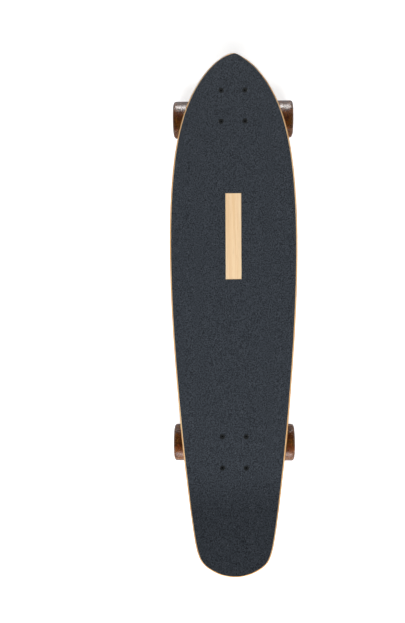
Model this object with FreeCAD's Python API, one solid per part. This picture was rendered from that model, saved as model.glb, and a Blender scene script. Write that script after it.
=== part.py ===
import FreeCAD, Part
import math
import os

# A longboard with a pointed nose and a kicked tail.
# Nose towards +X, left side towards +Y, up +Z. The ground is at zero, under the middle of the deck.
# Lengths are millimetres, angles are degrees.

Vector = FreeCAD.Vector

# Deck
deck_length = 897.0
deck_width = 221.2
deck_thickness = 11.0
deck_edge_radius = 2.4
flat_strip_width = 84.0
concave_rise = 5.0
kick_angle = 18.0
kick_bend_length = 62.0
kick_behind_bolts = 36.5
nose_to_bolts = 92.8
wheelbase = 601.2

# Half of the deck's outline, nose to tail: share of the length, share of the half width
outline_shares = [
    (0.0, 0.0), (0.0028, 0.085), (0.0100, 0.188), (0.0223, 0.315), (0.0424, 0.460), (0.0758, 0.631),
    (0.1784, 0.892), (0.2676, 0.975), (0.3790, 1.0), (0.5240, 0.963), (0.6912, 0.863), (0.8473, 0.730),
    (0.9253, 0.632), (0.9565, 0.574), (0.9744, 0.505), (0.9877, 0.371), (0.9961, 0.215), (1.0, 0.0),
]
outline_samples = 96
outline_quarters = 4

# Grip tape and its bare window
grip_thickness = 0.9
grip_setback = 0.1
grip_hole_clearance = 0.05
window_length = 149.9
window_width = 27.4
nose_to_window = 320.1

# Deck bolts and their lock nuts
bolt_pattern_length = 53.975
bolt_pattern_width = 41.275
bolt_diameter = 4.83
bolt_head_diameter = 9.2
bolt_head_rim = 0.35
bolt_head_sink = 0.15
bolt_socket = 3.2
bolt_socket_depth = 2.8
bolt_pitch = 0.794
bolt_thread_length = 9.0
bolt_end_reach = 3.2
bolt_nut_flats = 9.5
bolt_nut_height = 6.0
bolt_hole_clearance = 0.25

# Trucks: riser pad and baseplate
riser_thickness = 3.2
plate_length = 82.0
plate_width = 58.0
plate_thickness = 6.0
plate_corner_radius = 8.0
plate_edge_radius = 1.6
tower_radius = 14.2
boss_radius = 11.0
boss_wall = 2.6
rib_thickness = 5.0
rib_reach = 6.5

# Trucks: where the hanger hangs, measured from the middle of the bolt pattern on the mounting face
truck_height = 54.0
axle_inboard = 8.0
kingpin_lean = 26.0
seat_inboard = 15.4
seat_drop = 17.0
pivot_outboard = 20.0
pivot_drop = 11.5

# Trucks: kingpin, bushings and washers
kingpin_diameter = 9.525
kingpin_head_flats = 14.3
kingpin_head_height = 6.0
kingpin_hold = 7.8
kingpin_pitch = 1.058
kingpin_end_reach = 2.6
kingpin_nut_flats = 14.3
kingpin_nut_height = 7.4
kingpin_clearance = 0.15
head_clearance = 0.2
bushing_radius = 12.5
bushing_tip_radius = 10.0
bushing_edge = 1.2
bottom_bushing_height = 14.8
top_bushing_height = 11.5
washer_thickness = 1.2
washer_rim = 1.0
washer_lip = 1.5
bushing_clearance = 0.25

# Trucks: hanger
hanger_width = 140.8
tube_radius = 13.0
tube_end_radius = 8.6
tube_end_length = 4.0
ring_radius = 17.0
ring_floor = 6.0
ring_recess = 1.5
ring_hole_radius = 7.0
relief_gap = 3.0
neck_width = 34.0
shoulder_half_span = 38.0
shoulder_thickness = 17.0
knuckle_radius = 7.6
knuckle_from_pivot = 15.0
stem_radius = 5.0
stem_clearance = 0.1
cup_wall = 2.0
cup_depth = 6.0

# Axle, nuts and speed rings
axle_diameter = 7.94
axle_pitch = 1.058
axle_thread_length = 13.0
axle_end_reach = 0.5
axle_chamfer = 0.6
axle_nut_flats = 12.7
axle_nut_height = 6.3
speed_ring_thickness = 1.0
speed_ring_radius = 5.7

# Bearings: 8 by 22 by 7, seven balls
bearing_outer_diameter = 22.0
bearing_width = 7.0
bearing_outer_wall = 2.0
bearing_inner_wall = 2.0
bearing_pitch_diameter = 15.0
bearing_fit = 0.03
ball_diameter = 3.969
ball_count = 7
ball_clearance = 0.055
cage_wall = 1.6
cage_width = 5.0
shield_thickness = 0.4
shield_inset = 0.3
shield_gap = 0.35
spacer_length = 10.0
spacer_wall = 1.5

# Wheels
wheel_diameter = 66.0
wheel_width = 49.2
wheel_lip_radius = 4.6
wheel_side_angle = 24.0
wheel_dish_radius = 20.0
core_radius = 14.0
core_shoulder = 1.4
core_lug_height = 3.0
core_lug_width = 5.0
core_lug_length = 14.0
core_lug_count = 8

# Shared small sizes
thread_clearance = 0.05
cut_overrun = 20.0

# Shares that shape small features
thread_depth_share = 0.55
nut_body_share = 0.72
nut_collar_share = 0.86
nut_bevel_share = 0.5
crown_width_share = 0.9
crown_depth_share = 0.8

# Levels and places that follow from the sizes
wheel_radius = wheel_diameter / 2
mount_level = wheel_radius + truck_height
deck_level = mount_level + riser_thickness
deck_top = deck_level + deck_thickness
grip_top = deck_top + grip_thickness
nose_x = deck_length / 2
front_bolts_x = nose_x - nose_to_bolts
rear_bolts_x = front_bolts_x - wheelbase
kick_x = rear_bolts_x - kick_behind_bolts
flat_half = flat_strip_width / 2
bow_run = deck_width / 2 - flat_half
bow_radius = (bow_run ** 2 + concave_rise ** 2) / (2 * concave_rise)
kick_radius = kick_bend_length / math.radians(kick_angle)
bolt_radius = bolt_diameter / 2
bolt_head_radius = bolt_head_diameter / 2
bolt_hole_radius = bolt_radius + bolt_hole_clearance
kingpin_radius = kingpin_diameter / 2
axle_radius = axle_diameter / 2
core_half = spacer_length / 2 + bearing_width
wheel_offset = hanger_width / 2 + speed_ring_thickness + core_half
nut_offset = wheel_offset + core_half + speed_ring_thickness
axle_half = nut_offset + axle_nut_height + axle_end_reach

# The truck's own frame: x outboard, z up, zero on the mounting face in the middle of the bolts
lean = math.radians(kingpin_lean)
kingpin_axis = Vector(-math.sin(lean), 0, -math.cos(lean))
kingpin_seat = Vector(-seat_inboard, 0, -seat_drop)
ring_reach = washer_thickness + bottom_bushing_height + ring_floor / 2
ring_far_reach = ring_reach + ring_floor / 2
tip_bushing_reach = ring_far_reach + top_bushing_height
kingpin_nut_reach = tip_bushing_reach + washer_thickness
kingpin_reach = kingpin_nut_reach + kingpin_nut_height + kingpin_end_reach
ring_center = kingpin_seat + kingpin_axis * ring_reach
pivot_center = Vector(pivot_outboard, 0, -pivot_drop)
steer_axis = (pivot_center - ring_center).normalize()
axle_center = Vector(-axle_inboard, 0, -truck_height)
cup_radius = stem_radius + stem_clearance + cup_wall
cup_end = stem_radius + stem_clearance + cup_wall

up = Vector(0, 0, 1)
left = Vector(0, 1, 0)
origin = Vector(0, 0, 0)


def stand(shape, place, axis):
    """Move a shape built along +Z so that it stands on a place and points along an axis."""
    placement = FreeCAD.Placement(place, FreeCAD.Rotation(up, axis))
    return shape.transformed(placement.Matrix, True)


def face_of(points):
    """A flat face inside a closed row of points."""
    return Part.Face(Part.makePolygon(points + points[:1]))


def lathe(profile, place=origin, axis=up):
    """Turn a closed profile of (radius, height) pairs about an axis."""
    face = face_of([Vector(radius, 0, height) for radius, height in profile])
    return stand(face.revolve(origin, up, 360), place, axis)


def tube(inner, outer, low, high, place=origin, axis=up):
    """A plain ring between two radii and two heights."""
    return lathe([(inner, low), (outer, low), (outer, high), (inner, high)], place, axis)


def rod(radius, low, high, place=origin, axis=up):
    """A plain round bar between two heights."""
    return stand(Part.makeCylinder(radius, high - low, Vector(0, 0, low)), place, axis)


def hexagon(flats, low, high, place=origin, axis=up):
    """A hexagonal bar between two heights."""
    radius = flats / math.sqrt(3)
    turns = [math.radians(60 * corner) for corner in range(6)]
    points = [Vector(radius * math.cos(turn), radius * math.sin(turn), low) for turn in turns]
    return stand(face_of(points).extrude(up * (high - low)), place, axis)


def block(low, high):
    """A box between two corners."""
    size = high - low
    return Part.makeBox(size.x, size.y, size.z, low)


def thread(radius, start, end, pitch):
    """Ring grooves from start to end, as points of a turned profile."""
    count = max(1, round(abs(end - start) / pitch))
    step = (end - start) / count
    points = []
    for turn in range(count):
        height = start + step * turn
        points.append((radius, height))
        points.append((radius - abs(step) * thread_depth_share, height + step / 2))
    return points + [(radius, end)]


def lock_nut(flats, height, bore, place, axis):
    """A hexagonal nut with bevelled corners and a round collar that holds its nylon ring."""
    corner = flats / math.sqrt(3)
    flat = flats / 2
    bevel = (corner - flat) * nut_bevel_share
    body = height * nut_body_share
    collar = flat * nut_collar_share
    profile = [
        (bore, 0), (flat, 0), (corner, bevel), (corner, body - bevel), (flat, body),
        (collar, body), (collar, height - bevel), (collar - bevel, height), (bore, height),
    ]
    return hexagon(flats, 0, height, place, axis).common(lathe(profile, place, axis))


def only_solid(shape):
    """The one solid that a piece has to be."""
    if len(shape.Solids) != 1:
        raise ValueError("a piece came out as %d solids" % len(shape.Solids))
    return shape.Solids[0]


def save(name, solids):
    """Write a node: one solid, or a group of separate ones."""
    for solid in solids:
        if not solid.isValid():
            raise ValueError(name + " is not a valid solid")
    shape = solids[0] if len(solids) == 1 else Part.makeCompound(solids)
    shape.exportStep("parts/" + name + ".step")


def outline_curve(inset):
    """The deck's closed outline, moved in by an inset."""
    half_width = deck_width / 2
    left_side = [Vector(nose_x - along * deck_length, across * half_width, 0)
                 for along, across in outline_shares]
    right_side = [Vector(point.x, -point.y, 0) for point in reversed(left_side[1:-1])]
    edge = Part.BSplineCurve()
    edge.interpolate(Points=left_side + right_side, PeriodicFlag=True)
    if inset == 0:
        return edge
    moved = [edge.value(place) + up.cross(edge.tangent(place)[0]) * inset
             for place in spread(edge, outline_samples)[:-1]]
    inner = Part.BSplineCurve()
    inner.interpolate(Points=moved, PeriodicFlag=True)
    return inner


def spread(curve, count):
    """Evenly spaced parameters from a curve's start to its end."""
    first, last = curve.FirstParameter, curve.LastParameter
    return [first + (last - first) * step / count for step in range(count + 1)]


def outline_prism(inset):
    """An upright prism of the deck's outline, tall enough to cut the kicked tail."""
    curve = outline_curve(inset)
    places = spread(curve, outline_quarters)
    edges = [curve.toShape(start, end) for start, end in zip(places, places[1:])]
    return Part.Face(Part.Wire(edges)).extrude(up * (grip_top + deck_length / 2))


def laminate(low, high):
    """The bent board between two depths, before its outline is cut."""
    turn = math.asin((bow_run + cut_overrun) / (bow_radius - high))
    center = deck_level + bow_radius

    def at(depth, share, side):
        reach = bow_radius - depth
        across = side * (flat_half + reach * math.sin(turn * share))
        return Vector(kick_x, across, center - reach * math.cos(turn * share))

    def bow(depth, side):
        return Part.Arc(at(depth, 0, side), at(depth, 0.5, side), at(depth, 1, side)).toShape()

    edges = []
    for depth in (low, high):
        edges += [bow(depth, 1), bow(depth, -1)]
        edges.append(Part.makeLine(at(depth, 0, -1), at(depth, 0, 1)))
    for side in (1, -1):
        edges.append(Part.makeLine(at(low, 1, side), at(high, 1, side)))
    section = Part.Face(Part.Wire(Part.__sortEdges__(edges)))
    hinge = Vector(kick_x, 0, deck_level + kick_radius)
    flat = section.extrude(Vector(nose_x + cut_overrun - kick_x, 0, 0))
    bend = section.revolve(hinge, left, kick_angle)
    section.rotate(hinge, left, kick_angle)
    tail = Vector(-math.cos(math.radians(kick_angle)), 0, math.sin(math.radians(kick_angle)))
    kick = section.extrude(tail * (deck_length / 2))
    return flat.fuse([bend, kick])


def bolt_places():
    """The eight deck bolts, seen from above."""
    places = []
    for middle in (front_bolts_x, rear_bolts_x):
        for along in (0.5, -0.5):
            for across in (0.5, -0.5):
                places.append((middle + along * bolt_pattern_length, across * bolt_pattern_width))
    return places


def bolt_head(top):
    """The countersunk head as points from its middle to the shank."""
    cone = bolt_head_radius - bolt_radius
    return [(0, top), (bolt_head_radius, top), (bolt_head_radius, top - bolt_head_rim),
            (bolt_radius, top - bolt_head_rim - cone)]


def deck():
    """Bent maple board with rounded rims and countersunk bolt holes."""
    board = only_solid(laminate(0, deck_thickness).common(outline_prism(0)))
    rims = []
    for edge in board.Edges:
        sides = board.ancestorsOfType(edge, Part.Face)
        walls = [side for side in sides if isinstance(side.Surface, Part.SurfaceOfExtrusion)]
        if len(walls) == 1 and len(sides) == 2:
            rims.append(edge)
    board = board.makeFillet(deck_edge_radius, rims)
    seat = grip_top - bolt_head_sink
    for x, y in bolt_places():
        place = Vector(x, y, 0)
        head = bolt_head(seat)
        sink = lathe(head + [(0, head[-1][1])], place)
        hole = rod(bolt_hole_radius, deck_level - cut_overrun, seat - bolt_head_rim, place)
        board = board.cut([sink, hole])
    return only_solid(board)


def griptape():
    """Grit sheet set in from the rim, with a bare window and a hole round each bolt head."""
    inset = deck_edge_radius + grip_setback
    sheet = laminate(deck_thickness, deck_thickness + grip_thickness).common(outline_prism(inset))
    window_x = nose_x - nose_to_window
    reach = Vector(window_length / 2, window_width / 2, cut_overrun)
    middle = Vector(window_x, 0, grip_top)
    holes = [block(middle - reach, middle + reach)]
    for x, y in bolt_places():
        place = Vector(x, y, 0)
        holes.append(rod(bolt_head_radius + grip_hole_clearance, deck_level, grip_top + cut_overrun, place))
    return only_solid(sheet.cut(holes))


def deck_bolt(x, y):
    """Countersunk machine screw with a hexagon socket and a threaded end."""
    top = grip_top - bolt_head_sink
    end = mount_level - plate_thickness - bolt_nut_height - bolt_end_reach
    tip = bolt_radius - bolt_pitch * thread_depth_share
    profile = bolt_head(top) + thread(bolt_radius, end + bolt_thread_length, end + bolt_pitch, bolt_pitch)
    profile += [(tip, end), (0, end)]
    socket = hexagon(bolt_socket, top - bolt_socket_depth, top + cut_overrun, Vector(x, y, 0))
    return only_solid(lathe(profile, Vector(x, y, 0)).cut(socket))


def deck_bolt_nut(x, y):
    """Lock nut under the baseplate."""
    under = Vector(x, y, mount_level - plate_thickness)
    return only_solid(lock_nut(bolt_nut_flats, bolt_nut_height, bolt_radius + thread_clearance, under, -up))


def plate_slab(low, high):
    """The truck's rounded rectangle between two heights, drilled for the four bolts."""
    half = Vector(plate_length / 2, plate_width / 2, 0)
    slab = block(Vector(-half.x, -half.y, low), Vector(half.x, half.y, high))
    corners = [edge for edge in slab.Edges if edge.BoundBox.ZLength > edge.BoundBox.DiagonalLength / 2]
    slab = slab.makeFillet(plate_corner_radius, corners)
    holes = []
    for along in (0.5, -0.5):
        for across in (0.5, -0.5):
            place = Vector(along * bolt_pattern_length, across * bolt_pattern_width, 0)
            holes.append(rod(bolt_hole_radius, low - cut_overrun, high + cut_overrun, place))
    return slab, holes


def riser_pad():
    """Rubber pad between the deck and the baseplate."""
    slab, holes = plate_slab(0, riser_thickness)
    return only_solid(slab.cut(holes))


def baseplate():
    """Cast plate with the kingpin's tower on the inboard side and the pivot's boss outboard."""
    slab, holes = plate_slab(-plate_thickness, 0)
    rim = [edge for edge in slab.Edges if edge.BoundBox.ZMax < -plate_thickness / 2]
    slab = slab.makeFillet(plate_edge_radius, rim)
    tower = rod(tower_radius, 0, seat_drop + tower_radius, kingpin_seat, -kingpin_axis)
    boss = rod(boss_radius, -cup_depth, cup_end + boss_wall, pivot_center, steer_axis)
    rib_start = kingpin_seat.x - tower_radius - rib_reach
    rib_low = Vector(rib_start, -rib_thickness / 2, -plate_thickness - rib_reach)
    rib = block(rib_low, Vector(kingpin_seat.x, rib_thickness / 2, 0))
    slope = [edge for edge in rib.Edges
             if edge.BoundBox.XMax < kingpin_seat.x and edge.BoundBox.ZMax < -plate_thickness]
    rib = rib.makeChamfer(rib_reach, slope)
    solid = slab.fuse([tower, boss, rib])
    above = block(Vector(-plate_length, -plate_width, 0), Vector(plate_length, plate_width, plate_length))
    socket = rod(cup_radius, -cup_depth - cut_overrun, cup_end, pivot_center, steer_axis)
    bore = rod(kingpin_radius + kingpin_clearance, -cut_overrun, kingpin_hold + cut_overrun,
               kingpin_seat, -kingpin_axis)
    pocket = hexagon(kingpin_head_flats + head_clearance, kingpin_hold, seat_drop + cut_overrun,
                     kingpin_seat, -kingpin_axis)
    below = rod(tower_radius + relief_gap, 0, truck_height, kingpin_seat, kingpin_axis)
    return only_solid(solid.cut(holes + [above, socket, bore, pocket, below]))


def pivot_cup():
    """Plastic cup that the hanger's round stem end turns in."""
    bowl = stem_radius + stem_clearance
    body = rod(cup_radius, -cup_depth, cup_end, pivot_center, steer_axis)
    bore = rod(bowl, -cup_depth - cut_overrun, 0, pivot_center, steer_axis)
    return only_solid(body.cut([bore, Part.makeSphere(bowl, pivot_center)]))


def kingpin():
    """Bolt that clamps the bushings, with its head in the baseplate."""
    tip = kingpin_radius - kingpin_pitch * thread_depth_share
    profile = [(0, -kingpin_hold), (kingpin_radius, -kingpin_hold)]
    profile += thread(kingpin_radius, tip_bushing_reach, kingpin_reach - kingpin_pitch, kingpin_pitch)
    profile += [(tip, kingpin_reach), (0, kingpin_reach)]
    shank = lathe(profile, kingpin_seat, kingpin_axis)
    head = hexagon(kingpin_head_flats, kingpin_hold, kingpin_hold + kingpin_head_height,
                   kingpin_seat, -kingpin_axis)
    return only_solid(shank.fuse(head))


def kingpin_nut():
    """Lock nut that sets how hard the bushings are squeezed."""
    place = kingpin_seat + kingpin_axis * kingpin_nut_reach
    return only_solid(lock_nut(kingpin_nut_flats, kingpin_nut_height, kingpin_radius + thread_clearance,
                               place, kingpin_axis))


def bushing(wide, narrow, height, place):
    """Urethane cushion with eased edges, bored for the kingpin."""
    bore = kingpin_radius + kingpin_clearance
    profile = [(bore, 0), (wide - bushing_edge, 0), (wide, bushing_edge), (narrow, height - bushing_edge),
               (narrow - bushing_edge, height), (bore, height)]
    return only_solid(lathe(profile, place, kingpin_axis))


def bottom_bushing():
    """Barrel on the deck side of the hanger's ring."""
    return bushing(bushing_radius, bushing_radius, bottom_bushing_height,
                   kingpin_seat + kingpin_axis * washer_thickness)


def top_bushing():
    """Cone on the road side of the hanger's ring."""
    return bushing(bushing_radius, bushing_tip_radius, top_bushing_height,
                   kingpin_seat + kingpin_axis * ring_far_reach)


def cup_washer(radius, place, axis):
    """Pressed washer with a lip round the bushing."""
    inner = radius + bushing_clearance
    outer = inner + washer_rim
    lip = washer_thickness + washer_lip
    bore = kingpin_radius + kingpin_clearance
    profile = [(bore, 0), (outer, 0), (outer, lip), (inner, lip), (inner, washer_thickness),
               (bore, washer_thickness)]
    return only_solid(lathe(profile, place, axis))


def kingpin_washers():
    """One cup washer at each end of the bushings."""
    upper = cup_washer(bushing_radius, kingpin_seat, kingpin_axis)
    lower = cup_washer(bushing_tip_radius, kingpin_seat + kingpin_axis * kingpin_nut_reach, -kingpin_axis)
    return [upper, lower]


def hanger_arms():
    """Round axle tube, thick in the middle and tapering to plain ends."""
    half = hanger_width / 2
    taper = half - tube_end_length
    upper = [(tube_radius, shoulder_half_span), (tube_end_radius, taper), (tube_end_radius, half), (0, half)]
    lower = [(radius, -height) for radius, height in reversed(upper)]
    return lathe(lower + upper, axle_center, left)


def hanger_yoke():
    """Cast web that rises from the tube to the pivot's knuckle, wide below and narrow above."""
    knuckle = pivot_center - steer_axis * knuckle_from_pivot
    rise = (knuckle - axle_center).normalize()
    foot = Part.Ellipse(axle_center + left * shoulder_half_span,
                        axle_center + left.cross(rise) * (shoulder_thickness / 2), axle_center)
    crown = Part.Ellipse(knuckle + left * (knuckle_radius * crown_width_share),
                         knuckle + left.cross(rise) * (knuckle_radius * crown_depth_share), knuckle)
    web = Part.makeLoft([Part.Wire(foot.toShape()), Part.Wire(crown.toShape())], True, True)
    return [web, Part.makeSphere(knuckle_radius, knuckle)]


def hanger():
    """Cast hanger: axle tube, kingpin ring and the stem that turns in the pivot cup."""
    ring_half = ring_floor / 2 + ring_recess
    ring = rod(ring_radius, -ring_half, ring_half, ring_center, kingpin_axis)
    across = kingpin_axis.cross(left)
    neck_span = (axle_center - ring_center).dot(across)
    neck = Part.makeBox(neck_span, neck_width, 2 * ring_half, Vector(0, -neck_width / 2, -ring_half))
    frame = FreeCAD.Matrix(across.x, 0, kingpin_axis.x, ring_center.x,
                           0, 1, 0, 0,
                           across.z, 0, kingpin_axis.z, ring_center.z,
                           0, 0, 0, 1)
    stem = rod(stem_radius, -knuckle_from_pivot, 0, pivot_center, steer_axis)
    ball = Part.makeSphere(stem_radius, pivot_center)
    solid = hanger_arms().fuse(hanger_yoke() + [ring, neck.transformed(frame, True), stem, ball])
    cuts = [
        rod(bushing_radius + relief_gap, ring_half, truck_height, ring_center, kingpin_axis),
        rod(tower_radius + relief_gap, ring_half, truck_height, ring_center, -kingpin_axis),
        rod(ring_hole_radius, -truck_height, truck_height, ring_center, kingpin_axis),
        rod(axle_radius, -hanger_width, hanger_width, axle_center, left),
    ]
    seat = bushing_radius + bushing_clearance
    for side in (kingpin_axis, -kingpin_axis):
        cuts.append(rod(seat, ring_floor / 2, truck_height, ring_center, side))
    return only_solid(solid.cut(cuts))


def axle():
    """Steel rod through the hanger, threaded at both ends."""
    tip = axle_radius - axle_chamfer
    start = axle_half - axle_thread_length
    upper = thread(axle_radius, start, axle_half - axle_chamfer, axle_pitch) + [(tip, axle_half)]
    lower = [(radius, -height) for radius, height in reversed(upper)]
    return only_solid(lathe([(0, -axle_half)] + lower + upper + [(0, axle_half)], axle_center, left))


def axle_nuts():
    """Lock nuts outside the wheels."""
    bore = axle_radius + thread_clearance
    nuts = []
    for side in (left, -left):
        place = axle_center + side * nut_offset
        nuts.append(only_solid(lock_nut(axle_nut_flats, axle_nut_height, bore, place, side)))
    return nuts


def speed_rings():
    """Thin washers on both sides of every wheel, touching the inner rings alone."""
    bore = axle_radius + bearing_fit
    rings = []
    for side in (left, -left):
        for start in (hanger_width / 2, wheel_offset + core_half):
            end = start + speed_ring_thickness
            rings.append(tube(bore, speed_ring_radius, start, end, axle_center, side))
    return rings


def wheel_core():
    """Hub inside the urethane: two bearing seats, a shoulder between them and keying lugs."""
    seat = bearing_outer_diameter / 2
    middle = spacer_length / 2
    step = seat - core_shoulder
    profile = [(seat, core_half), (core_radius, core_half), (core_radius, -core_half), (seat, -core_half),
               (seat, -middle), (step, -middle), (step, middle), (seat, middle)]
    lugs = []
    for lug in range(core_lug_count):
        low = Vector((seat + core_radius) / 2, -core_lug_length / 2, -core_lug_width / 2)
        high = Vector(core_radius + core_lug_height, core_lug_length / 2, core_lug_width / 2)
        shape = block(low, high)
        shape.rotate(origin, left, 360 * lug / core_lug_count)
        lugs.append(shape)
    return only_solid(lathe(profile, origin, left).fuse(lugs))


def wheel_tyre(core):
    """Cast urethane tyre with rounded lips, gently swollen sides and a dish down to the core."""
    side = math.radians(wheel_side_angle)
    lip_center = wheel_radius - wheel_lip_radius
    lip_end = lip_center + wheel_lip_radius * math.sin(side)
    swell = (lip_end - wheel_dish_radius) / (2 * math.sin(side))
    shoulder = wheel_width / 2 - swell * (1 - math.cos(side))
    tread = shoulder - wheel_lip_radius * math.cos(side)
    half_turn = (math.pi / 2 - side) / 2

    def at(radius, height, end):
        return Vector(radius, 0, height * end)

    edges = []
    for end in (1, -1):
        lip_mid = at(lip_center + wheel_lip_radius * math.cos(half_turn),
                     tread + wheel_lip_radius * math.sin(half_turn), end)
        rim = at(wheel_dish_radius, shoulder, end)
        lip = at(lip_end, shoulder, end)
        apex = at((lip_end + wheel_dish_radius) / 2, wheel_width / 2, end)
        edges += [
            Part.makeLine(at(core_radius, core_half, end), rim),
            Part.Arc(rim, apex, lip).toShape(),
            Part.Arc(lip, lip_mid, at(wheel_radius, tread, end)).toShape(),
        ]
    edges.append(Part.makeLine(at(wheel_radius, tread, 1), at(wheel_radius, tread, -1)))
    edges.append(Part.makeLine(at(core_radius, core_half, 1), at(core_radius, core_half, -1)))
    face = Part.Face(Part.Wire(Part.__sortEdges__(edges)))
    blank = stand(face.revolve(origin, up, 360), origin, left)
    return only_solid(blank.cut(core))


def bearing_outer_ring(place):
    """Outer race with its ball groove."""
    outer = bearing_outer_diameter / 2
    ring = tube(outer - bearing_outer_wall, outer, -bearing_width / 2, bearing_width / 2, place, left)
    return only_solid(ring.cut(ball_groove(place)))


def bearing_inner_ring(place):
    """Inner race with its ball groove."""
    inner = axle_radius + bearing_fit
    ring = tube(inner, inner + bearing_inner_wall, -bearing_width / 2, bearing_width / 2, place, left)
    return only_solid(ring.cut(ball_groove(place)))


def ball_groove(place):
    """The ring that the balls sweep, with its running clearance."""
    return Part.makeTorus(bearing_pitch_diameter / 2, ball_diameter / 2 + ball_clearance, place, left)


def ball_places(place):
    """Middles of the balls of one bearing."""
    turns = [2 * math.pi * ball / ball_count for ball in range(ball_count)]
    reach = bearing_pitch_diameter / 2
    return [place + Vector(reach * math.cos(turn), 0, reach * math.sin(turn)) for turn in turns]


def bearing_cage(place):
    """Ring that keeps the balls apart, with one pocket each."""
    reach = bearing_pitch_diameter / 2
    ring = tube(reach - cage_wall / 2, reach + cage_wall / 2, -cage_width / 2, cage_width / 2, place, left)
    pockets = [rod(ball_diameter / 2 + ball_clearance, 0, reach + cage_wall, place, middle - place)
               for middle in ball_places(place)]
    return only_solid(ring.cut(pockets))


def bearing_shield(place, side):
    """Pressed steel shield, held by the outer race and clear of the inner one."""
    outer = bearing_outer_diameter / 2 - bearing_outer_wall
    inner = axle_radius + bearing_fit + bearing_inner_wall + shield_gap
    high = bearing_width / 2 - shield_inset
    return tube(inner, outer, high - shield_thickness, high, place, left * side)


def save_wheel(name, center):
    """Tyre, core, two bearings and the spacer of one wheel."""
    def placed(solids):
        return [solid.translated(center) for solid in solids]

    core = wheel_core()
    seats = [left * (side * (spacer_length + bearing_width) / 2) for side in (1, -1)]
    bore = axle_radius + bearing_fit
    balls = [Part.makeSphere(ball_diameter / 2, ball) for seat in seats for ball in ball_places(seat)]
    shields = [bearing_shield(seat, side) for seat in seats for side in (1, -1)]
    spacer = tube(bore, bore + spacer_wall, -spacer_length / 2, spacer_length / 2, origin, left)
    save(name + "_tyre", placed([wheel_tyre(core)]))
    save(name + "_core", placed([core]))
    save(name + "_bearing_outer_rings", placed([bearing_outer_ring(seat) for seat in seats]))
    save(name + "_bearing_inner_rings", placed([bearing_inner_ring(seat) for seat in seats]))
    save(name + "_bearing_balls", placed(balls))
    save(name + "_bearing_cages", placed([bearing_cage(seat) for seat in seats]))
    save(name + "_bearing_shields", placed(shields))
    save(name + "_spacer", placed([spacer]))


def save_truck(name, x, heading):
    """One truck under the deck: the rear one is the front one turned round."""
    placement = FreeCAD.Placement(Vector(x, 0, mount_level), FreeCAD.Rotation(up, heading))

    def placed(*solids):
        return [solid.transformed(placement.Matrix, True) for solid in solids]

    save(name + "_riser_pad", placed(riser_pad()))
    save(name + "_baseplate", placed(baseplate()))
    save(name + "_pivot_cup", placed(pivot_cup()))
    save(name + "_kingpin", placed(kingpin()))
    save(name + "_kingpin_nut", placed(kingpin_nut()))
    save(name + "_bottom_bushing", placed(bottom_bushing()))
    save(name + "_top_bushing", placed(top_bushing()))
    save(name + "_kingpin_washers", placed(*kingpin_washers()))
    save(name + "_hanger", placed(hanger()))
    save(name + "_axle", placed(axle()))
    save(name + "_axle_nuts", placed(*axle_nuts()))
    save(name + "_speed_rings", placed(*speed_rings()))
    center = placement.multVec(axle_center)
    for side, sign in (("left", 1), ("right", -1)):
        save_wheel(name + "_" + side, center + left * (sign * wheel_offset))


os.makedirs("parts", exist_ok=True)
save("deck", [deck()])
save("griptape", [griptape()])
save("deck_bolts", [deck_bolt(x, y) for x, y in bolt_places()])
save("deck_bolt_nuts", [deck_bolt_nut(x, y) for x, y in bolt_places()])
save_truck("front", front_bolts_x, 0)
save_truck("rear", rear_bolts_x, 180)
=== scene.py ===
import math

import bmesh
import bpy
import numpy as np
from mathutils import Matrix, Vector


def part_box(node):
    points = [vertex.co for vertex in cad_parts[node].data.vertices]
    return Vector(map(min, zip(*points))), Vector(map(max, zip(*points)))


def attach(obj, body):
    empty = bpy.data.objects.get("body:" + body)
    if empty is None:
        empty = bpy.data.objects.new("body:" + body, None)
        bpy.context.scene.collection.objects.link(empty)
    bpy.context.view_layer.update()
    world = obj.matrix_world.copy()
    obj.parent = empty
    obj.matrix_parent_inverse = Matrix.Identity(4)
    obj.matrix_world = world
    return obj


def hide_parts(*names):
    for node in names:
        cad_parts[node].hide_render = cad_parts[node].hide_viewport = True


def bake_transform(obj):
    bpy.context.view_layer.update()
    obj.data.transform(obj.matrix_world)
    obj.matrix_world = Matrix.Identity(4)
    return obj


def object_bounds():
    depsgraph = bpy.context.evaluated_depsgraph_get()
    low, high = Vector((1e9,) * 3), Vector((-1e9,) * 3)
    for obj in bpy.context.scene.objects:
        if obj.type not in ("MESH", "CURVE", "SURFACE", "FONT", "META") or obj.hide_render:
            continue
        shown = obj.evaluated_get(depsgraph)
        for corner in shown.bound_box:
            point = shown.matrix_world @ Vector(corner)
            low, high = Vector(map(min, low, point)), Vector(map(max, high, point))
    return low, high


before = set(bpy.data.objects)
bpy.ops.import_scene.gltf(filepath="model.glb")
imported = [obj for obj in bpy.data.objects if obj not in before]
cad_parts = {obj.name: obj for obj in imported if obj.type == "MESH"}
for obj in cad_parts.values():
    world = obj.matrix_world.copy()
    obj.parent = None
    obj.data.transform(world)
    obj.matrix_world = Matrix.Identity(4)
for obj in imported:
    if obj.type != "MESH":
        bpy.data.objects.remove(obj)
cad_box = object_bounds()

# A longboard seen from straight above: grit-covered maple deck, cast trucks, amber urethane wheels.
# Lengths are metres, angles are degrees, colours are six hex digits as seen on a screen.
# The nose points along +X, the left side along +Y, and the ground is at zero.

# The picture: its size, where the middle of the deck's top lies in it, and the camera that took it
image_width = 405
image_height = 623
board_column = 233.75
board_row = 310.56
pixel_on_deck = 0.0017337
camera_above_deck = 1.45
camera_roll = 0.20
camera_forward = -0.016
sensor_width = 36.0

# The deck's laminate, as the part has it
deck_thickness = 0.011
flat_half = 0.042
concave_rise = 0.005
kick_angle = 18.0
kick_bend_length = 0.062
kick_x = -0.282
ply_count = 7
cross_plies = (2, 4)
ply_face_share = 0.02

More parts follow.
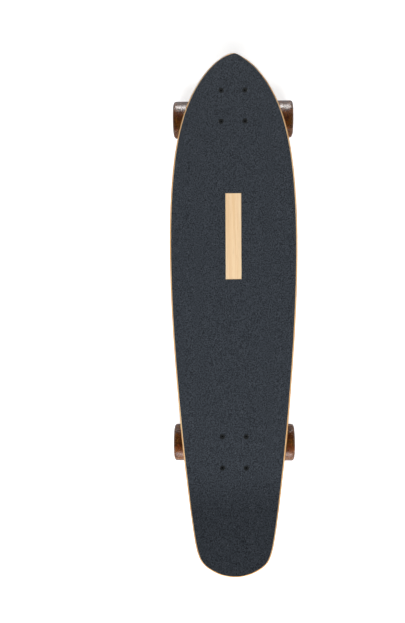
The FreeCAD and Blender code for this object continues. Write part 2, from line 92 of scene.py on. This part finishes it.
# The riser pads: edges pressed round, after the flats are joined up
pad_edge = 0.0007
pad_edge_steps = 3
pad_weld = 0.000007
pad_flat_within = 1.0
pad_sharp_from = 40.0

# The trucks' bushings: their kingpins lean towards the middle of the board
kingpin_lean = 26.0
kingpin_bore = 0.0049
washer_thickness = 0.0012
ring_floor = 0.006
bushing_radius = 0.0125
bushing_tip_radius = 0.010
bushing_edge = 0.0012
bushing_bulge = 0.0005
bottom_bushing_height = 0.0148
top_bushing_height = 0.0115
seat_inboard = 0.0154
seat_drop = 0.017
bushing_sides = 64
bushing_side_steps = 10
bushing_edge_steps = 5

# The wheels' urethane, cast round a core that it bites into a little
wheel_radius = 0.033
wheel_width = 0.0492
wheel_lip_radius = 0.0046
wheel_side_angle = 24.0
wheel_dish_radius = 0.020
core_radius = 0.014
core_half = 0.012
core_bite = 0.0008
dish_edge = 0.0016
tyre_sides = 128
lip_steps = 12
swell_steps = 16
dish_edge_steps = 6

# The deck bolts' sockets get painted shade, black from this far below the tops of the heads
socket_shade_below = 0.0006

# Bare metals: colour, roughness, size and depth of the marks in the skin, and how the marks are stretched
metals = {
    "zinc_steel": ("C6C8CC", 0.30, 0.0008, 0.00002, (1, 1, 1)),
    "cast_aluminium": ("C4C6C9", 0.42, 0.0011, 0.00010, (1, 1, 1)),
    "kingpin_steel": ("A9ABB0", 0.34, 0.0006, 0.00002, (1, 1, 1)),
    "washer_steel": ("BFC1C5", 0.30, 0.0007, 0.00002, (1, 1, 1)),
    "axle_steel": ("B7B9BE", 0.26, 0.0004, 0.00001, (0.05, 1, 0.05)),
    "bearing_steel": ("CFD1D5", 0.16, 0.0005, 0.000004, (1, 0.05, 1)),
    "shield_steel": ("6C6E73", 0.34, 0.0005, 0.00001, (1, 1, 1)),
}
metal_shade = 0.82

# Mouldings and rubber: colour, roughness, and size and depth of the bumps in the skin
mouldings = {
    "riser_rubber": ("26272A", 0.72, 0.0006, 0.00006),
    "pivot_plastic": ("2B2B2D", 0.45, 0.0008, 0.00003),
    "bushing_urethane": ("D9CDB0", 0.36, 0.0012, 0.00002),
    "wheel_core": ("C4A06C", 0.48, 0.0009, 0.00004),
    "cage_plastic": ("5A5B60", 0.46, 0.0008, 0.00003),
}
moulded_shade = 0.75

# The range that most of a noise pattern lies in
noise_low = 0.3
noise_high = 0.7

# Where a mix node has its sockets for colours
mix_factor = 0
mix_first = 6
mix_second = 7
mix_result = 2

# Softboxes light the board, aimed at its middle: azimuth from the nose, height above the horizon, distance,
# width, height, and brightness against white
softboxes = {
    "tail_softbox": (180, 44, 10.0, 11.0, 3.6, 10.4),
    "left_softbox": (90, 28, 3.0, 1.4, 0.6, 1.5),
    "right_softbox": (270, 28, 3.0, 1.4, 0.6, 2.0),
}
# Cards show only as bright bands in what is glossy: the same values, aimed at the middle of a truck's axle
cards = {
    "rear": (180, 18, 0.70, 0.40, 0.16, 13.0),
    "front": (0, 22, 0.42, 0.38, 0.13, 21.0),
}
# Watts from each square metre of a lamp with a brightness of one
light_gain = 4.0

# The room lights softly, and what is glossy sees it white up to one height and dim from another
room_light = 0.12
sky_white_up_to = 0.16
sky_dim_from = 0.36
sky_overhead = 0.08

# The floor glows to look white, less near the board, where it keeps the shadow, and less still in mirrors
floor_half_width = 40.0
floor_glow = 0.72
floor_mirror_glow = 0.05
floor_shadow_reach = 0.7
floor_white_from = 1.6


def rgb(code):
    """A screen colour in six hex digits as the linear values that a shader takes."""
    parts = [int(code[start:start + 2], 16) / 255 for start in (0, 2, 4)]
    linear = [part / 12.92 if part <= 0.04045 else ((part + 0.055) / 1.055) ** 2.4 for part in parts]
    return (*linear, 1.0)


class Nodes:
    """A node tree under construction, with its nodes set and linked by the names of their sockets."""

    def __init__(self, holder):
        holder.use_nodes = True
        self.tree = holder.node_tree
        self.tree.nodes.clear()

    def node(self, kind, settings=None, **inputs):
        """A new node, with its settings and its inputs set or linked by name."""
        made = self.tree.nodes.new(kind)
        for key, value in (settings or {}).items():
            setattr(made, key, value)
        for key, value in inputs.items():
            self.feed(made.inputs[key.replace("_", " ")], value)
        return made

    def feed(self, socket, value):
        """Link an output to a socket, or set the socket's value."""
        if isinstance(value, bpy.types.NodeSocket):
            self.tree.links.new(value, socket)
        else:
            socket.default_value = value

    def grey(self, factor, low, high, start=0.0, end=1.0):
        """A factor spread from start..end to low..high."""
        made = self.node("ShaderNodeMapRange", Value=factor, From_Min=start, From_Max=end,
                         To_Min=low, To_Max=high)
        return made.outputs["Result"]

    def sum(self, how, first, second):
        """Two values joined by a sum such as ADD or MULTIPLY."""
        made = self.node("ShaderNodeMath", {"operation": how})
        self.feed(made.inputs[0], first)
        self.feed(made.inputs[1], second)
        return made.outputs[0]


class Finish(Nodes):
    """A material around one principled shader, with its patterns in the piece's own coordinates."""

    def __init__(self, name, **sockets):
        self.material = bpy.data.materials.new(name)
        super().__init__(self.material)
        self.shader = self.node("ShaderNodeBsdfPrincipled")
        self.output = self.node("ShaderNodeOutputMaterial", Surface=self.shader.outputs[0])
        self.place = self.node("ShaderNodeTexCoord").outputs["Object"]
        self.set(**sockets)

    def set(self, **sockets):
        """Set or link the shader's own sockets by name."""
        for key, value in sockets.items():
            self.feed(self.shader.inputs[key.replace("_", " ")], value)

    def stretched(self, stretch):
        """The piece's coordinates, stretched along each axis."""
        return self.node("ShaderNodeMapping", Vector=self.place, Scale=stretch).outputs["Vector"]

    def noise(self, size, stretch=(1, 1, 1), detail=3.0, distortion=0.0):
        """Cloudy noise from 0 to 1 with lumps of about this size."""
        made = self.node("ShaderNodeTexNoise", Vector=self.stretched(stretch), Scale=1 / size,
                         Detail=detail, Distortion=distortion)
        return made.outputs["Fac"]

    def cells(self, size):
        """Distance to the nearest of scattered points, in cells of about this size."""
        made = self.node("ShaderNodeTexVoronoi", {"feature": "F1"}, Vector=self.place, Scale=1 / size)
        return made.outputs["Distance"]

    def ramp(self, factor, *stops):
        """Colours along a factor, from pairs of place and colour."""
        made = self.node("ShaderNodeValToRGB", Fac=factor)
        points = made.color_ramp.elements
        while len(points) < len(stops):
            points.new(1.0)
        for point, (place, colour) in zip(points, stops):
            point.position = place
            point.color = colour if len(colour) == 4 else (*colour, 1.0)
        return made.outputs["Color"]

    def mix(self, factor, first, second, how="MIX"):
        """Two colours mixed by a factor."""
        made = self.node("ShaderNodeMix", {"data_type": "RGBA", "blend_type": how})
        self.feed(made.inputs[mix_factor], factor)
        self.feed(made.inputs[mix_first], first)
        self.feed(made.inputs[mix_second], second)
        return made.outputs[mix_result]

    def blotched(self, pattern, colour, shade):
        """A colour that is darker by a share where a pattern is low."""
        dark = [part * shade for part in rgb(colour)[:3]]
        return self.ramp(pattern, (noise_low, dark), (noise_high, rgb(colour)))

    def relief(self, height, depth):
        """Bumps of a height pattern."""
        self.set(Normal=self.node("ShaderNodeBump", Height=height, Distance=depth).outputs["Normal"])


def maple():
    """Maple under a thin satin seal: long grain, short pores, and veneers that show at the rim."""
    wood = Finish("maple", Roughness=0.62, Specular_IOR_Level=0.25)
    figure = wood.noise(0.03, (0.09, 1, 1), detail=2.0, distortion=1.2)
    grain = wood.noise(0.0022, (0.02, 1, 1), detail=4.0)
    pores = wood.noise(0.0007, (0.06, 1, 1), detail=1.0)
    long_grain = wood.ramp(figure, (0.30, rgb("E0BA89")), (0.55, rgb("ECCFA7")), (0.75, rgb("F1DAB7")))
    streaks = wood.ramp(grain, (0.30, rgb("CFA06A")), (0.62, rgb("FFFFFF")))
    tone = wood.mix(0.24, long_grain, streaks, "MULTIPLY")
    flecks = wood.ramp(pores, (0.28, rgb("A87444")), (0.40, rgb("FFFFFF")))
    tone = wood.mix(0.16, tone, flecks, "MULTIPLY")
    ply = wood.node("ShaderNodeAttribute", {"attribute_name": "ply"}).outputs["Fac"]
    layer = wood.sum("MULTIPLY", ply, float(ply_count))
    index = wood.sum("FLOOR", layer, 0.0)
    across = wood.sum("COMPARE", index, float(cross_plies[0]))
    other = wood.sum("COMPARE", index, float(cross_plies[1]))
    cross = wood.sum("ADD", across, other)
    end_grain = wood.mix(wood.grey(grain, 0.35, 0.75), rgb("B98048"), rgb("D7A468"))
    rim = wood.mix(cross, wood.mix(1.0, tone, rgb("F3DDBB"), "MULTIPLY"), end_grain)
    within = wood.sum("FRACT", layer, 0.0)
    seam = rgb("8A5A2E")
    clear = rgb("FFFFFF")
    glue = wood.ramp(within, (0.0, seam), (0.07, clear), (0.95, clear), (1.0, seam))
    above = wood.sum("GREATER_THAN", ply, ply_face_share)
    below = wood.sum("LESS_THAN", ply, 1 - ply_face_share)
    inside = wood.sum("MULTIPLY", above, below)
    edged = wood.mix(0.6, rim, glue, "MULTIPLY")
    wood.set(Base_Color=wood.mix(inside, tone, edged))
    wood.relief(grain, 0.00004)
    return wood


def grip():
    """Black grit sheet: a crowd of dull grains, with painted glints where a few grains are lighter."""
    grit = Finish("grip", Specular_IOR_Level=0.04)
    grains = grit.cells(0.0009)
    mottle = grit.noise(0.0019, detail=4.0)
    clouds = grit.noise(0.02, detail=2.0)
    dark = grit.ramp(mottle, (0.34, rgb("1B1E22")), (0.66, rgb("444950")))
    shade = grit.mix(grit.grey(clouds, 0.0, 0.35, noise_low, noise_high), dark, rgb("34393F"))
    # Painted highlight: glints as specks of lighter base colour
    painted_glint = grit.ramp(grit.noise(0.0016, detail=1.0), (0.70, (0, 0, 0)), (0.76, (1, 1, 1)))
    grit.set(Base_Color=grit.mix(painted_glint, shade, rgb("5C626A")))
    grit.set(Roughness=grit.grey(mottle, 0.62, 0.85))
    grit.relief(grains, 0.0004)
    return grit


def metal(name, colour, rough, lump, depth, stretch):
    """Bare metal: patchy sheen, with tool marks or cast skin in its relief."""
    made = Finish(name, Metallic=1.0)
    patches = made.noise(0.012, detail=4.0)
    skin = made.noise(lump, stretch)
    made.set(Base_Color=made.blotched(patches, colour, metal_shade))
    made.set(Roughness=made.grey(skin, rough - 0.08, rough + 0.10, noise_low, noise_high))
    made.relief(skin, depth)
    return made


def moulded(name, colour, rough, lump, depth):
    """Moulded plastic or rubber: fine pebbled skin and faint blotches."""
    made = Finish(name)
    skin = made.noise(lump, detail=2.0)
    blotch = made.noise(0.01)
    made.set(Base_Color=made.blotched(blotch, colour, moulded_shade))
    made.set(Roughness=made.grey(blotch, rough - 0.06, rough + 0.06, noise_low, noise_high))
    made.relief(skin, depth)
    return made


def black_steel():
    """Blackened bolts: a dull oxide skin, and painted shade that blackens the sockets."""
    made = moulded("black_steel", "212324", 0.55, 0.0006, 0.00002)
    made.set(Specular_IOR_Level=0.12)
    skin = made.shader.inputs["Base Color"].links[0].from_socket
    # Painted shade: the sockets go black below the heads' tops, standing in for the shade in their recesses
    height = made.node("ShaderNodeSeparateXYZ", Vector=made.place).outputs["Z"]
    head_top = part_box("deck_bolts")[1].z
    painted_socket_shade = made.grey(height, 1.0, 0.0, head_top - socket_shade_below, head_top)
    made.set(Base_Color=made.mix(painted_socket_shade, skin, rgb("030303")))
    return made


def wheel_urethane():
    """Cast urethane in dark amber: cloudy and see-through within, under a coat that carries the shine."""
    made = Finish("wheel_urethane", Transmission_Weight=0.93, IOR=1.10, Coat_Weight=1.0, Coat_Roughness=0.39)
    flow = made.noise(0.010, detail=2.0)
    made.set(Base_Color=made.ramp(flow, (0.32, rgb("985B1B")), (0.68, rgb("DE9E40"))))
    made.set(Roughness=made.grey(flow, 0.20, 0.24, noise_low, noise_high))
    depth = made.node("ShaderNodeVolumeAbsorption", Color=rgb("C48638"), Density=42.0)
    made.feed(made.output.inputs["Volume"], depth.outputs[0])
    return made


finishes = {
    "maple": maple(),
    "grip": grip(),
    "black_steel": black_steel(),
    "wheel_urethane": wheel_urethane(),
}
finishes.update({slot: metal(slot, *setting) for slot, setting in metals.items()})
finishes.update({slot: moulded(slot, *setting) for slot, setting in mouldings.items()})


def dress(node):
    """Give a node of the part the finish of its slot."""
    node.data.materials[0] = finishes[node.data.materials[0].name.split(".")[0]].material


def ply_shares(points):
    """How far up through the laminate each point lies: 0 at the underside, 1 at the top."""
    x, y, z = points.T
    bow_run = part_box("deck")[1].y - flat_half
    bow_radius = (bow_run ** 2 + concave_rise ** 2) / (2 * concave_rise)
    bend = math.radians(kick_angle)
    kick_radius = kick_bend_length / bend
    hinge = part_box("deck")[0].z + kick_radius
    turn = np.clip(np.arctan2(kick_x - x, hinge - z), 0, bend)
    lift = kick_radius - (kick_x - x) * np.sin(turn) - (hinge - z) * np.cos(turn)
    side = np.maximum(np.abs(y) - flat_half, 0)
    return (bow_radius - np.hypot(bow_radius - lift, side)) / deck_thickness


def piece(name, mesh, slot, *nodes):
    """A new piece with the finish of a slot, in place of nodes of the part."""
    made = bpy.data.objects.new(name, mesh)
    bpy.context.scene.collection.objects.link(made)
    mesh.materials.clear()
    mesh.materials.append(finishes[slot].material)
    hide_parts(*nodes)
    return made


def deck_laminate():
    """The deck's board with the depth of every point in its laminate, for the veneers at its rim."""
    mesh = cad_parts["deck"].data.copy()
    points = np.zeros(len(mesh.vertices) * 3, np.float32)
    mesh.vertices.foreach_get("co", points)
    shares = ply_shares(points.reshape(-1, 3).astype(float))
    mesh.attributes.new("ply", "FLOAT", "POINT").data.foreach_set("value", shares.astype(np.float32))
    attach(piece("deck_laminate", mesh, "maple", "deck"), "deck")


def riser_pads():
    """The rubber pads under the deck, with edges that are pressed round."""
    for end in ("front", "rear"):
        node = end + "_riser_pad"
        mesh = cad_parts[node].data.copy()
        form = bmesh.new()
        form.from_mesh(mesh)
        bmesh.ops.remove_doubles(form, verts=form.verts, dist=pad_weld)
        bmesh.ops.dissolve_limit(form, angle_limit=math.radians(pad_flat_within), verts=form.verts,
                                 edges=form.edges)
        sharp = [edge for edge in form.edges if edge.calc_face_angle(0) > math.radians(pad_sharp_from)]
        bmesh.ops.bevel(form, geom=sharp, offset=pad_edge, segments=pad_edge_steps, profile=0.5,
                        affect="EDGES")
        form.to_mesh(mesh)
        form.free()
        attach(piece(end + "_rubber_pad", mesh, "riser_rubber", node), "deck")


def arc(center, radius, start, end, steps):
    """Points along an arc in the plane of a profile."""
    turns = np.radians(np.linspace(start, end, steps + 1))
    return [(center[0] + radius * math.cos(turn), center[1] + radius * math.sin(turn)) for turn in turns]


def rounded(before, corner, after, steps):
    """Points that round a corner off between two points."""
    shares = np.linspace(0, 1, steps + 1)
    return [tuple((1 - s) ** 2 * a + 2 * s * (1 - s) * b + s ** 2 * c
                  for a, b, c in zip(before, corner, after)) for s in shares]


def lathe(profile, place, axis, sides):
    """A mesh of a closed profile turned round an axis: pairs of radius and distance along the axis."""
    side = axis.orthogonal().normalized()
    other = axis.cross(side)
    turns = [math.tau * step / sides for step in range(sides)]
    rays = [side * math.cos(turn) + other * math.sin(turn) for turn in turns]
    points = [place + ray * radius + axis * along for ray in rays for radius, along in profile]
    count = len(profile)
    faces = []
    for step in range(sides):
        here = step * count
        there = (step + 1) % sides * count
        for low in range(count):
            high = (low + 1) % count
            faces.append((here + low, here + high, there + high, there + low))
    mesh = bpy.data.meshes.new("lathe")
    mesh.from_pydata(points, [], faces)
    form = bmesh.new()
    form.from_mesh(mesh)
    bmesh.ops.recalc_face_normals(form, faces=form.faces)
    form.to_mesh(mesh)
    form.free()
    mesh.shade_smooth()
    return mesh


def tyre_profile():
    """The urethane's section: flat tread, rounded lips, swollen sides and a dish down to the core."""
    side = math.radians(wheel_side_angle)
    lip_center = wheel_radius - wheel_lip_radius
    lip_end = lip_center + wheel_lip_radius * math.sin(side)
    swell = (lip_end - wheel_dish_radius) / (2 * math.sin(side))
    swell_center = ((lip_end + wheel_dish_radius) / 2, wheel_width / 2 - swell)
    shoulder = wheel_width / 2 - swell * (1 - math.cos(side))
    tread = shoulder - wheel_lip_radius * math.cos(side)
    steep = 90 - wheel_side_angle
    half = arc((lip_center, tread), wheel_lip_radius, 0, steep, lip_steps)
    half += arc(swell_center, swell, steep, 90 + wheel_side_angle, swell_steps)[1:-1]
    rim = Vector((wheel_dish_radius, shoulder))
    core_edge = Vector((core_radius, core_half))
    inwards = (core_edge - rim).normalized() * dish_edge
    half += rounded(half[-1], rim, rim + inwards, dish_edge_steps)[1:]
    half += [tuple(core_edge), (core_radius - core_bite, core_half - core_bite)]
    return half + [(radius, -along) for radius, along in reversed(half)]


def tyres():
    """The four wheels' urethane."""
    profile = tyre_profile()
    for end in ("front", "rear"):
        for side in ("left", "right"):
            wheel = end + "_" + side
            low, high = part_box(wheel + "_tyre")
            mesh = lathe(profile, (low + high) / 2, Vector((0, 1, 0)), tyre_sides)
            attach(piece(wheel + "_urethane", mesh, "wheel_urethane", wheel + "_tyre"), wheel + "_wheel")


def bushing_profile(wide, narrow, height):
    """A cushion's section: round edges and a side that bulges under its load."""
    corner = bushing_edge
    shares = np.linspace(0, 1, bushing_side_steps + 1)
    side = [(wide + (narrow - wide) * share + bushing_bulge * math.sin(math.pi * share),
             corner + (height - 2 * corner) * share) for share in shares]
    low_edge = rounded((wide - corner, 0), (wide, 0), side[0], bushing_edge_steps)
    high_edge = rounded(side[-1], (narrow, height), (narrow - corner, height), bushing_edge_steps)
    return [(kingpin_bore, 0), *low_edge, *side[1:-1], *high_edge, (kingpin_bore, height)]


def bushings():
    """Each truck's two cushions, squeezed between the kingpin's washers and the hanger's ring."""
    lean = math.radians(kingpin_lean)
    barrel_section = bushing_profile(bushing_radius, bushing_radius, bottom_bushing_height)
    cone_section = bushing_profile(bushing_radius, bushing_tip_radius, top_bushing_height)
    for end, heading in (("front", 1), ("rear", -1)):
        low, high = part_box(end + "_riser_pad")
        axis = Vector((-math.sin(lean) * heading, 0, -math.cos(lean)))
        seat = Vector(((low.x + high.x) / 2 - seat_inboard * heading, 0, low.z - seat_drop))
        upper = seat + axis * washer_thickness
        ring = upper + axis * bottom_bushing_height
        below = ring + axis * ring_floor
        barrel = lathe(barrel_section, upper, axis, bushing_sides)
        cushion = piece(end + "_barrel_cushion", barrel, "bushing_urethane", end + "_bottom_bushing")
        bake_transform(cushion)
        cone = lathe(cone_section, below, axis, bushing_sides)
        cushion = piece(end + "_cone_cushion", cone, "bushing_urethane", end + "_top_bushing")
        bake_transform(cushion)


def seen_rays(finish):
    """Two masks of rays: those from the camera, and those from a mirror or through glass."""
    path = finish.node("ShaderNodeLightPath")
    mirrored = finish.sum("MAXIMUM", path.outputs["Is Glossy Ray"], path.outputs["Is Transmission Ray"])
    return path.outputs["Is Camera Ray"], mirrored


def floor():
    """A wide pale floor that looks white and keeps the board's shadow, also in what mirrors it."""
    finish = Finish("floor", Base_Color=rgb("E6E6E6"), Roughness=0.9, Specular_IOR_Level=0.0)
    away = finish.node("ShaderNodeVectorMath", {"operation": "LENGTH"}, Vector=finish.place)
    glows = [finish.grey(away.outputs["Value"], near, 1.0, floor_shadow_reach, floor_white_from)
             for near in (floor_glow, floor_mirror_glow)]
    parts = [finish.sum("MULTIPLY", rays, glow) for rays, glow in zip(seen_rays(finish), glows)]
    shine = finish.sum("ADD", *parts)
    finish.set(Emission_Color=rgb("FFFFFF"), Emission_Strength=shine)
    corners = [(floor_half_width * x, floor_half_width * y, cad_box[0].z) for x, y in
               ((-1, -1), (1, -1), (1, 1), (-1, 1))]
    mesh = bpy.data.meshes.new("floor")
    mesh.from_pydata(corners, [], [(0, 1, 2, 3)])
    mesh.materials.append(finish.material)
    ground = bpy.data.objects.new("floor", mesh)
    bpy.context.scene.collection.objects.link(ground)


def sky():
    """A room that looks white, is mirrored white near the horizon and dim overhead, and lights softly."""
    world = bpy.data.worlds.new("room")
    bpy.context.scene.world = world
    room = Nodes(world)
    split = room.node("ShaderNodeSeparateXYZ", Vector=room.node("ShaderNodeTexCoord").outputs["Generated"])
    look = room.grey(split.outputs["Z"], 1.0, sky_overhead, sky_white_up_to, sky_dim_from)
    seen, mirrored = seen_rays(room)
    unseen = room.node("ShaderNodeMix", Factor=mirrored, A=room_light, B=look)
    strength = room.node("ShaderNodeMix", Factor=seen, A=unseen.outputs[0], B=1.0)
    back = room.node("ShaderNodeBackground", Color=rgb("FFFFFF"), Strength=strength.outputs[0])
    room.node("ShaderNodeOutputWorld", Surface=back.outputs[0])


def lamp(name, target, azimuth, height, distance, width, tall, brightness):
    """A rectangle of light aimed at a point, which neither the camera nor a look through glass sees."""
    turn = math.radians(azimuth)
    rise = math.radians(height)
    back = Vector((math.cos(turn) * math.cos(rise), math.sin(turn) * math.cos(rise), math.sin(rise)))
    light = bpy.data.lights.new(name, "AREA")
    light.shape = "RECTANGLE"
    light.size = width
    light.size_y = tall
    light.energy = brightness * light_gain * width * tall
    made = bpy.data.objects.new(name, light)
    made.location = target + back * distance
    made.rotation_euler = back.to_track_quat("Z", "Y").to_euler()
    made.visible_camera = False
    made.visible_transmission = False
    bpy.context.scene.collection.objects.link(made)
    return made


def lights():
    """The studio's softboxes, and the cards that the wheels mirror."""
    middle = (cad_box[0] + cad_box[1]) / 2
    for name, setting in softboxes.items():
        lamp(name, middle, *setting).visible_glossy = False
    for end, setting in cards.items():
        low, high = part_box(end + "_axle")
        lamp(end + "_card", (low + high) / 2, *setting).visible_diffuse = False


def camera():
    """The photograph's camera: straight above the board's middle line, turned to set the board off centre."""
    deck_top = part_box("griptape")[0].z
    across = (board_column - image_width / 2) * pixel_on_deck
    along = (board_row - image_height / 2) * pixel_on_deck
    stand = Vector((along + camera_forward, 0, deck_top + camera_above_deck))
    back = (stand - Vector((along, across, deck_top))).normalized()
    roll = math.radians(camera_roll)
    right = Vector((math.cos(roll), -math.sin(roll), 0)).cross(back).normalized()
    lens = bpy.data.cameras.new("camera")
    lens.sensor_width = sensor_width
    lens.lens = sensor_width * camera_above_deck / pixel_on_deck / image_height
    eye = bpy.data.objects.new("camera", lens)
    turned = Matrix((right, back.cross(right), back)).transposed().to_4x4()
    eye.matrix_world = Matrix.Translation(stand) @ turned
    bpy.context.scene.collection.objects.link(eye)
    bpy.context.scene.camera = eye


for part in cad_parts.values():
    dress(part)
deck_laminate()
riser_pads()
tyres()
bushings()
floor()
sky()
lights()
camera()
bpy.context.scene.view_settings.view_transform = "Standard"
